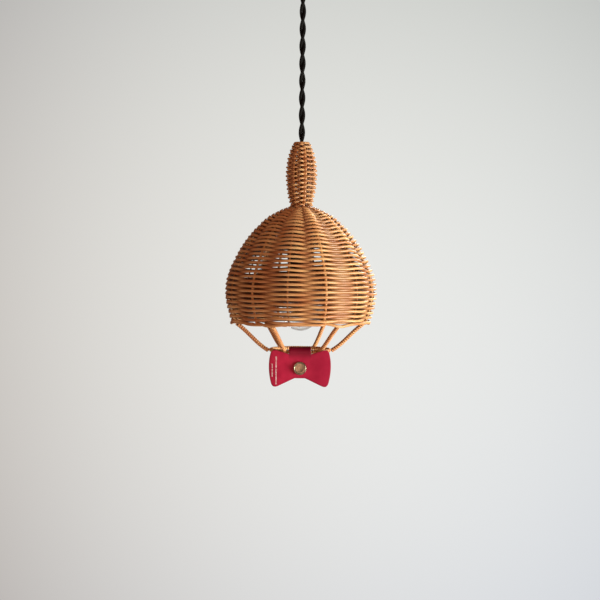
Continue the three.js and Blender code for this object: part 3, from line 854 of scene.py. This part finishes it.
class CANELAMP_OT_stage(CaneLampOperator, bpy.types.Operator):
    """Camera, pale floor and soft studio light."""

    bl_idname = "cane_lamp.stage"
    bl_label = "Stage and camera"

    def execute(self, context):
        _, finish = self.settings(context)
        scene = context.scene
        camera = bpy.data.objects.new("camera", bpy.data.cameras.new("camera"))
        scene.collection.objects.link(camera)
        camera.data.lens = finish.focal
        camera.data.sensor_width = 36
        eye, target = Vector(CAMERA_EYE), Vector(CAMERA_TARGET)
        aim = (target - eye).to_track_quat("-Z", "Y").to_matrix().to_4x4()
        roll = Matrix.Rotation(math.radians(CAMERA_ROLL), 4, "Z")
        camera.matrix_world = Matrix.Translation(eye) @ aim @ roll
        scene.camera = camera
        scene.view_settings.view_transform = "Standard"

        self.floor(scene, finish)
        self.world(scene, finish)
        for name, (spot, size, share, tone) in LAMPS.items():
            data = bpy.data.lights.new(name, "AREA")
            data.shape = "DISK"
            data.size = size
            data.energy = share * finish.key
            data.color = tone
            lamp = bpy.data.objects.new(name, data)
            lamp.location = spot
            way = Vector(LAMP_TARGET) - lamp.location
            lamp.rotation_euler = way.to_track_quat("-Z", "Y").to_euler()
            scene.collection.objects.link(lamp)
        return {"FINISHED"}

    def floor(self, scene, finish):
        """A round paper floor far below the lamp."""
        made, build, shader = start_material("paper_floor", Roughness=0.9)
        tone = build.noise(place_of(build), 3, 3).outputs[0]
        pale = rgba(finish.backdrop)
        tint = build.mix(build.ranged(tone, 0.3, 0.7, 0, 1), rgba(toned(finish.backdrop, 0.94)), pale)
        build.feed(shader.inputs["Base Color"], tint)
        build.feed(shader.inputs["Emission Color"], pale)
        glow = build.times(build.add("ShaderNodeLightPath").outputs["Is Camera Ray"], 0.5)
        build.feed(shader.inputs["Emission Strength"], glow)
        mesh = bpy.data.meshes.new("floor")
        work = bmesh.new()
        bmesh.ops.create_circle(work, cap_ends=True, segments=96, radius=FLOOR_RADIUS)
        bmesh.ops.translate(work, verts=work.verts, vec=(0, 0, FLOOR_Z))
        work.to_mesh(mesh)
        work.free()
        mesh.materials.append(made)
        floor = bpy.data.objects.new("floor", mesh)
        scene.collection.objects.link(floor)

    def world(self, scene, finish):
        """A pale backdrop with painted shading, a little darker towards the top, that also fills the
        shadows.
        """
        world = bpy.data.worlds.new("studio")
        world.use_nodes = True
        scene.world = world
        build = Builder(world.node_tree)
        world.node_tree.nodes.clear()
        way = build.separate(build.add("ShaderNodeTexCoord").outputs["Generated"])
        x = build.ranged(way[0], -0.215, 0.215, -0.215, 0.215)
        z = build.ranged(way[2], -0.25, 0.18, -0.25, 0.18)
        paper = tuple(finish.backdrop)
        # Painted shading of the paper: how its red, green and blue change across, up, and towards its
        # corners.
        slopes = (
            (x, (0.25, 0.335, 0.385)),
            (z, (-0.35, -0.335, -0.375)),
            (build.times(x, x), (-2.96, -3.1, -2.88)),
            (build.times(x, z), (-0.6, -0.74, -1.08)),
            (build.times(z, z), (-2.7, -2.6, -2.28)),
        )
        for factor, slope in slopes:
            paper = build.vector("ADD", build.scaled(slope, factor), paper)
        seen = build.add("ShaderNodeBackground", paper, 1.0)
        light = build.add("ShaderNodeBackground", (1.0, 0.6, 0.48, 1), 0.14)
        path = build.add("ShaderNodeLightPath")
        direct = build.math("MAXIMUM", path.outputs["Is Camera Ray"], path.outputs["Is Transmission Ray"])
        both = build.add("ShaderNodeMixShader", direct, light, seen)
        build.add("ShaderNodeOutputWorld", both)


class CANELAMP_OT_cord(CaneLampOperator, bpy.types.Operator):
    """Two cloth-covered cores twisted together, from the lamp holder up to the ceiling grip."""

    bl_idname = "cane_lamp.cord"
    bl_label = "Cord"

    def execute(self, context):
        weave, _ = self.settings(context)
        low, high = CORD_BOTTOM * MM, CORD_TOP * MM
        steps = 240
        lines = []
        for start in (0, math.pi):
            line = []
            for k in range(steps + 1):
                z = low + (high - low) * k / steps
                angle = start + math.tau * (z - low) / weave.cord_lay
                line.append((CORD_CORE * math.cos(angle), CORD_CORE * math.sin(angle), z))
            lines.append(line)
        cord = grow("twisted_cord", None, TREES["rod"], {
            "Radius": CORD_CORE, "Step": 0.0011, "Wander": 0.0, "Sides": 14, "Material": PAINT["cloth"],
        }, lines=lines)
        settle(cord, "pendant", "cord")
        return {"FINISHED"}


class CANELAMP_OT_weave(CaneLampOperator, bpy.types.Operator):
    """The woven neck and the woven dome, each one long strand round its stakes."""

    bl_idname = "cane_lamp.weave"
    bl_label = "Woven shade"

    def execute(self, context):
        weave, _ = self.settings(context)
        shared = {"Steps": 144, "Stakes": STAKES, "Wander": 0.0011, "Proud": 0.0009, "Sides": 8}
        parts = (
            ("neck_cane", "neck_weave", "neck", NECK_OUTLINE, {
                "Rows": weave.neck_rows, "First stake": 55 / 360, "Radius": weave.neck_strand,
                "Swing": weave.neck_swing, "Start swing": 0.0008, "Grow": 0.28, "Slack": 0.4, "Seed": 4.7}),
            ("dome_cane", "dome_weave", "weave", DOME_OUTLINE, {
                "Rows": weave.dome_rows, "First stake": 50 / 360, "Radius": weave.dome_strand,
                "Swing": weave.dome_swing, "Start swing": 0.0009, "Grow": 0.16, "Slack": 0.95, "Seed": 1.3}),
        )
        for name, node, paint, outline, values in parts:
            line = [(p.x * MM, 0, p.y * MM) for p in spline(outline, 200)]
            made = grow(name, line, TREES["weaving"], {**shared, **values, "Material": PAINT[paint]})
            settle(made, "pendant", node)
        collar = [around(12 * k, NECK_OUTLINE[0][0] - 0.7, NECK_OUTLINE[0][1] - 0.2) for k in range(30)]
        made = grow("neck_collar", collar, TREES["rod"], {
            "Radius": weave.neck_strand, "Step": 0.0016, "Wander": 0.0004, "Sides": 10,
            "Material": PAINT["neck"],
        }, closed=True)
        settle(made, "pendant", "neck_weave")
        return {"FINISHED"}


class CANELAMP_OT_stakes(CaneLampOperator, bpy.types.Operator):
    """Twelve stakes: six fold into the rim's border and six run on as the cores of the ribs."""

    bl_idname = "cane_lamp.stakes"
    bl_label = "Stakes, ribs and ring"

    def execute(self, context):
        weave, _ = self.settings(context)
        rib_line = spline(RIB_LINE, 60)
        core = WRAP_RADIUS * MM - STRIP_THICKNESS
        for i in range(PAIRS):
            turn = i * PAIR_TURN
            start = FIRST_BORDER_STAKE + turn
            border = stake_line(start) + border_line(start)
            own, rib = FIRST_RIB_STAKE + turn, FIRST_RIB + turn
            path = [around(rib, p.x, p.y) for p in rib_line] + [around(rib, *RIB_FOOT)]
            stake = stake_line(own)
            stake += [around(own + 0.55 * (rib - own), 64.9, -379.3), around(rib + 1.2, 63.1, -380.8)]
            stake += path[::12]
            for name, points, paint, radius in (
                (f"border_stake_{i + 1}", border, "border", BORDER_STRAND),
                (f"rib_stake_{i + 1}", stake, "stake", min(weave.stake, core)),
            ):
                made = grow(name + "_cane", spline(points, 120), TREES["rod"], {
                    "Radius": radius, "Step": 0.0022, "Wander": 0.0003, "Sides": 10,
                    "Material": PAINT[paint],
                })
                settle(made, "pendant", name)
            bound = [around(rib, *RIB_HEAD)] + path
            run = sum((b - a).length for a, b in zip(bound, bound[1:]))
            self.bind(f"rib_binding_{i + 1}", f"rib_wrap_{i + 1}", bound, run, core, weave.binding_pitch)
        hoop = [around(180 + 360 * k / 180, RING_RADIUS, RING_Z) for k in range(180)]
        run = math.tau * RING_RADIUS * MM
        core = RING_WRAP_RADIUS * MM - STRIP_THICKNESS
        self.bind("ring_binding", "ring_wrap", hoop, run, core, weave.binding_pitch, closed=True)
        return {"FINISHED"}

    @staticmethod
    def bind(name, node, path, run, core, pitch, closed=False):
        """Winds a strip of split cane round a path of a known length."""
        made = grow(name, path, TREES["binding"], {
            "Core": core, "Half width": 0.5 * pitch, "Half thickness": STRIP_THICKNESS / 2,
            "Turns": round(run / pitch), "Steps": 22, "Sides": 10, "Material": PAINT["binding"],
        }, closed=closed)
        settle(made, "pendant", node)


def outline_points(corners, spacing):
    """A closed outline, cut into short steps."""
    made = []
    for a, b in zip(corners, corners[1:] + corners[:1]):
        a, b = Vector(a), Vector(b)
        count = max(1, round((b - a).length / spacing))
        made += [a.lerp(b, k / count) for k in range(count)]
    return made


def bend(a, control, b, steps=10):
    """A smooth turn from a to b, drawn towards a control point."""
    a, control, b = Vector(a), Vector(control), Vector(b)
    shares = [k / steps for k in range(steps + 1)]
    return [a * (1 - f) ** 2 + control * 2 * f * (1 - f) + b * f * f for f in shares]


def leather_sheet(name, corners, place, body, replaced):
    """A cut of leather with rounded edges. Place gives a point of the folded sheet and its outward side."""
    edge = outline_points(corners, SHEET_EDGE_STEP)
    count = len(edge)
    tree = KDTree(4 * count)
    dense = [edge[i].lerp(edge[(i + 1) % count], k / 4) for i in range(count) for k in range(4)]
    for i, p in enumerate(dense):
        tree.insert((p.x, p.y, 0), i)
    tree.balance()
    points = list(edge)
    for inset in (0.12, 0.32, SHEET_ROUNDING):
        for i in range(count):
            along = (edge[(i + 1) % count] - edge[i - 1]).normalized()
            p = edge[i] + Vector((-along.y, along.x)) * inset
            if tree.find((p.x, p.y, 0))[2] > 0.9 * inset:
                points.append(p)
    low = [min(p[k] for p in edge) for k in (0, 1)]
    high = [max(p[k] for p in edge) for k in (0, 1)]
    step = SHEET_STEP
    for row in range(int((high[1] - low[1]) / step) + 1):
        for column in range(int((high[0] - low[0]) / step) + 1):
            p = Vector((low[0] + step * (column + 0.5 * (row % 2)), low[1] + step * row))
            if tree.find((p.x, p.y, 0))[2] > 1.1:
                points.append(p)
    cut = delaunay_2d_cdt(points, [(i, (i + 1) % count) for i in range(count)], [], 1, 1e-5)
    flat, faces = cut[0], cut[2]
    uses = {}
    for face in faces:
        for i in range(3):
            pair = tuple(sorted((face[i], face[(i + 1) % 3])))
            uses[pair] = uses.get(pair, 0) + 1
    vertices, depth = [], []
    for side in (1, -1):
        for p in flat:
            near = tree.find((p.x, p.y, 0))[2]
            fall = 1 - min(1.0, near / SHEET_ROUNDING)
            half = LEATHER / 2 * (0.45 + 0.55 * math.sqrt(max(0.0, 1 - fall ** 2)))
            here, outward = place(p.x, p.y)
            vertices.append((here + outward * side * half) * MM)
            depth.append(math.exp(-near / 0.7))
    total = len(flat)
    shell = [tuple(f) for f in faces] + [tuple(total + i for i in reversed(f)) for f in faces]
    shell += [(a, b, total + b, total + a) for (a, b), seen in uses.items() if seen == 1]
    mesh = bpy.data.meshes.new(name)
    mesh.from_pydata(vertices, [], shell)
    face_out(mesh)
    mesh.shade_smooth()
    mesh.attributes.new("edge", "FLOAT", "POINT").data.foreach_set("value", depth)
    mesh.materials.append(PAINT["leather"])
    made = bpy.data.objects.new(name, mesh)
    bpy.context.scene.collection.objects.link(made)
    return settle(made, body, replaced)


class CANELAMP_OT_tag(CaneLampOperator, bpy.types.Operator):
    """The folded bow-tie tag of leather, its tongue and its press snap."""

    bl_idname = "cane_lamp.tag"
    bl_label = "Leather tag"

    def execute(self, context):
        half = [(5.2, -25.3)] + bend((21.6, -33.2), (26.9, -35.4), (28.3, -29.6))
        half += bend((28.3, -29.6), (32.0, -14.5), (29.0, -1.8), 16)[1:]
        half += bend((29.0, -1.8), (28.0, 3.4), (23.0, 2.2))[1:]
        half += [(11.25, -1.5), (10.9, -1.5), (TAB_HALF_WIDTH, 0.2), (TAB_HALF_WIDTH, 15.2)]
        corners = [tuple(p) for p in half] + [(-p[0], p[1]) for p in reversed(half)]
        leather_sheet("tag_leather", corners, self.front_place, "tag", "tag_front")
        tongue = [(-10, -1.2)]
        for a in range(180, 361, 10):
            tongue.append((10 * math.cos(math.radians(a)), -13.6 + 10 * math.sin(math.radians(a))))
        tongue.append((10, -1.2))
        leather_sheet("tongue_leather", tongue, self.tongue_place, "tongue", "tag_tongue")

        cap = fillet([
            (0, -1.6), (2, -1.6), (2, 0), (6.35, 0), (6.5, 0.5), (6.5, 1.3), (6.15, 2.15), (5.5, 2.4),
            (4.9, 2.05), (4.4, 1.95), (0, 2.35)], 0.5, 5)
        socket = fillet([(4.6, 0.3), (4.6, 1.5), (2.7, 1.5), (2.7, 0.3)], 0.3, 3, closed=True)
        stud = fillet([(0, 0.3), (4.2, 0.3), (4.2, 1.4), (1.6, 1.4), (1.6, 2.5), (0, 2.6)], 0.35, 4)
        post = fillet([(0, -1.25), (3.6, -1.15), (4.5, -0.5), (4.3, 0), (2, 0), (2, 1.6), (0, 1.6)], 0.5, 4)
        # Each piece's name, profile, body, middle along Y in metres, sides, and whether its profile closes.
        for name, profile, body, y, segments, closed in (
            ("snap_cap", cap, "tag", -0.035, 64, False),
            ("snap_socket", socket, "tag", -0.0316, 40, True),
            ("snap_stud", stud, "tongue", -0.0302, 40, False),
            ("snap_post", post, "tongue", -0.0286, 48, False),
        ):
            face = Matrix.Translation((0, y, SNAP_Z * MM)) @ Matrix.Rotation(math.radians(90), 4, "X")
            turned(name + "_brass", profile, "old_brass", body, name, segments, face, closed)
        return {"FINISHED"}

    @staticmethod
    def front_place(x, t):
        """The flat front, and the tab that goes over the ring's bar and down behind it."""
        if t <= 0 or abs(x) > TAB_HALF_WIDTH + 0.1:
            past = max(0.0, (abs(x) - BEND_START) / BEND_START)
            tilt = 2 * past / BEND_START * math.copysign(1, x)
            side = Vector((tilt, -1, 0)).normalized()
            return Vector((x, FRONT_MIDDLE_Y + past ** 2, RING_Z + t)), side
        quarter = (LOOP_HALF_DEPTH + LOOP_HALF_HEIGHT) / 2
        angle = t / quarter
        if angle < math.pi:
            out, up = -math.cos(angle), math.sin(angle)
            here = Vector((x, LOOP_CENTRE_Y + LOOP_HALF_DEPTH * out, RING_Z + LOOP_HALF_HEIGHT * up))
            return here, Vector((0, out / LOOP_HALF_DEPTH, up / LOOP_HALF_HEIGHT)).normalized()
        down = t - math.pi * quarter
        return Vector((x, LOOP_CENTRE_Y + LOOP_HALF_DEPTH, RING_Z - down)), Vector((0, 1, 0))

    @staticmethod
    def tongue_place(x, z):
        """The tongue slants forward from behind the bar, and then hangs behind the front."""
        line = spline(TONGUE_LINE, 60)
        i = min(range(len(line) - 1), key=lambda k: abs((line[k].y + line[k + 1].y) / 2 - z))
        span = line[i + 1].y - line[i].y
        y = line[i].x + (line[i + 1].x - line[i].x) * (z - line[i].y) / span
        along = (line[min(i + 2, 60)] - line[max(i - 1, 0)]).normalized()
        return Vector((x, y, RING_Z + z)), Vector((0, -along.y, along.x)).normalized()


class CANELAMP_OT_holder(CaneLampOperator, bpy.types.Operator):
    """Cord grip, and the turned cap and body of the lamp holder."""

    bl_idname = "cane_lamp.holder"
    bl_label = "Lamp holder"

    def execute(self, context):
        grip = [(8.4, -288), (8.4, -286), (6.2, -275.9), (3.3, -275.9), (3.3, -288)]
        cap = [
            (13.5, -301), (13.5, -293), (9.5, -288.3), (3.4, -288.3), (3.4, -289.8), (8.9, -289.8),
            (12.1, -293.6), (12.1, -301)]
        body = [(13.5, -345), (13.5, -340)]
        for k in range(9):
            z = -338 + 3.6 * k
            body += [(13.5, z - 0.9), (13.0, z - 0.6), (13.0, z + 0.6), (13.5, z + 0.9)]
        body += [(13.5, -301.3), (12.1, -301.3), (12.1, -343.6), (10.4, -343.6), (10.4, -345)]
        for name, node, profile, rounding, steps in (
            ("cord_grip_cone", "cord_grip", grip, 0.5, 4),
            ("holder_cap_shell", "holder_cap", cap, 0.6, 4),
            ("holder_body_shell", "holder_body", body, 0.35, 3),
        ):
            profile = fillet(profile, rounding, steps, closed=True)
            turned(name, profile, "plastic", "pendant", node, closed=True)
        return {"FINISHED"}


class CANELAMP_OT_bulb(CaneLampOperator, bpy.types.Operator):
    """The clear bulb: glass, threaded base, stem, leads and a coiled filament."""

    bl_idname = "cane_lamp.bulb"
    bl_label = "Bulb"

    def execute(self, context):
        glass = self.glass_line(0) + self.glass_line(0.8)[::-1]
        turned("bulb_envelope", glass, "glass", "bulb", "bulb_glass", 96)
        stem = fillet([(0, -360), (1.8, -359.4), (2.2, -350), (6.2, -344.4), (0, -344.4)], 0.8, 5)
        turned("bulb_stem_glass", stem, "glass", "bulb", "bulb_stem", 48)
        base = [(8.0, -324.7)]
        for k in range(6):
            z = -326.6 - 2.8 * k
            base += [(7.75, z + 1.2), (8.3, z), (7.75, z - 1.2)]
        base += [(8.2, -343.8), (7.6, -343.8), (7.2, -324.7)]
        thread = fillet(base, 0.5, 3, closed=True)
        turned("bulb_base_thread", thread, "brass", "bulb", "bulb_base", closed=True)
        lead_line = ((1.6, -360.4), (2.6, -363), (5, -366.4), (5.6, -368.8))
        for side, name in ((-1, "left"), (1, "right")):
            lead = [Vector((side * x, 0, z)) * MM for x, z in lead_line]
            made = grow(f"bulb_lead_wire_{name}", spline(lead, 24), TREES["rod"], {
                "Radius": 0.0003, "Step": 0.0004, "Wander": 0.0, "Sides": 10,
                "Material": PAINT["tungsten"]})
            settle(made, "bulb", "bulb_lead_" + name)
        arc_line = ((-5.6, -369.2), (-3.4, -367.6), (0, -366.9), (3.4, -367.6), (5.6, -369.2))
        arc = [Vector((x, 0, z)) * MM for x, z in arc_line]
        made = grow("filament_coil", spline(arc, 60), TREES["binding"], {
            "Core": 0.00012, "Half width": 0.00009, "Half thickness": 0.00009, "Turns": 36, "Steps": 14,
            "Sides": 6, "Material": PAINT["tungsten"]})
        settle(made, "bulb", "bulb_filament")
        return {"FINISHED"}

    @staticmethod
    def glass_line(inset):
        """Outline of the glass from its lowest point up its neck, this far inside its outer face."""
        radius = 18.7 - inset
        ball = [
            (radius * math.cos(math.radians(a)), -369 + radius * math.sin(math.radians(a)))
            for a in range(-90, 33, 4)
        ]
        ball[0] = (0, ball[0][1])
        neck = spline([ball[-1], (11.6 - inset, -354), (8.9 - inset, -349.2), (7.6 - inset, -344.1)], 18)
        return ball + [tuple(p) for p in neck[1:]]


class CANELAMP_OT_ceiling(CaneLampOperator, bpy.types.Operator):
    """The cup against the ceiling, its screws and the grip that holds the cord."""

    bl_idname = "cane_lamp.ceiling"
    bl_label = "Ceiling fitting"

    def execute(self, context):
        cup = fillet([
            (38, -30), (42, -26), (42, -0.4), (40.8, -0.4), (40.8, -25.6), (37.5, -28.8), (5.3, -28.8),
            (5.3, -30)], 1.2, 5, closed=True)
        grip = fillet([
            (4.9, -44.5), (6, -44.5), (9, -36.5), (9, -30.3), (5, -30.3), (5, -26), (3, -26), (3, -38.7),
            (3.7, -38.7), (3.7, -40)], 0.6, 4, closed=True)
        screw = fillet([
            (0, 30), (1.75, 30), (1.75, 42.3), (3.9, 42.3), (3.9, 44.0), (3.0, 45.0), (1.9, 45.1),
            (1.7, 44.1), (0, 44.1)], 0.3, 3)
        body = "ceiling_fitting"
        turned("ceiling_cup_shell", cup, "plastic", body, "ceiling_cup", 128, closed=True)
        turned("ceiling_grip_cone", grip, "plastic", body, "ceiling_cord_grip", closed=True)
        for side, name in ((-1, "left"), (1, "right")):
            turn = Matrix.Translation((0, 0, -0.007)) @ Matrix.Rotation(side * math.pi / 2, 4, "Y")
            turned("cup_screw_head_" + name, screw, "steel", body, "cup_screw_" + name, 40, turn)
        return {"FINISHED"}


class CANELAMP_OT_fittings(CaneLampOperator, bpy.types.Operator):
    """Finishes for the pieces whose own shape stays."""

    bl_idname = "cane_lamp.fittings"
    bl_label = "Fittings"

    def execute(self, context):
        finishes = {
            "stake": ["ring_core"],
            "steel": ["retaining_washer", "bulb_tip", "ceiling_bracket"],
            "ceramic": ["holder_insert", "terminal_block"],
            "brass": ["screw_shell", "centre_contact", "terminal_screw_live", "terminal_screw_neutral"],
            "insulation": [
                "cord_core_live", "cord_core_neutral", "supply_core_live", "supply_core_neutral"],
            "black_glass": ["bulb_insulator"],
        }
        for paint, names in finishes.items():
            for name in names:
                data = NODES[name].data
                data.materials.clear()
                data.materials.append(PAINT[paint])
        return {"FINISHED"}


class CANELAMP_PT_panel(bpy.types.Panel):
    """Lists the lamp's pieces and settings."""

    bl_idname = "CANELAMP_PT_panel"
    bl_label = "Cane Lamp"
    bl_space_type = "VIEW_3D"
    bl_region_type = "UI"
    bl_category = "Cane Lamp"

    def draw(self, context):
        for settings in (context.scene.cane_lamp_weave, context.scene.cane_lamp_finish):
            for key in settings.bl_rna.properties.keys():
                if key not in ("rna_type", "name"):
                    self.layout.prop(settings, key)
        for operator in OPERATORS:
            self.layout.operator(operator.bl_idname)


OPERATORS = (
    CANELAMP_OT_stage, CANELAMP_OT_cord, CANELAMP_OT_weave, CANELAMP_OT_stakes, CANELAMP_OT_tag,
    CANELAMP_OT_holder, CANELAMP_OT_bulb, CANELAMP_OT_ceiling, CANELAMP_OT_fittings,
)
CLASSES = (CaneLampWeave, CaneLampFinish, *OPERATORS, CANELAMP_PT_panel)
TREES = {}


def register():
    for item in CLASSES:
        bpy.utils.register_class(item)
    bpy.types.Scene.cane_lamp_weave = bpy.props.PointerProperty(type=CaneLampWeave)
    bpy.types.Scene.cane_lamp_finish = bpy.props.PointerProperty(type=CaneLampFinish)


def unregister():
    del bpy.types.Scene.cane_lamp_weave
    del bpy.types.Scene.cane_lamp_finish
    for item in reversed(CLASSES):
        bpy.utils.unregister_class(item)


def main():
    register()
    make_materials(bpy.context.scene.cane_lamp_finish, bpy.context.scene.cane_lamp_weave.binding_pitch)
    TREES.update(weaving=weaving_tree(), rod=rod_tree(), binding=binding_tree())
    for operator in OPERATORS:
        area, call = operator.bl_idname.split(".")
        getattr(getattr(bpy.ops, area), call)()


if __name__ == "__main__":
    main()
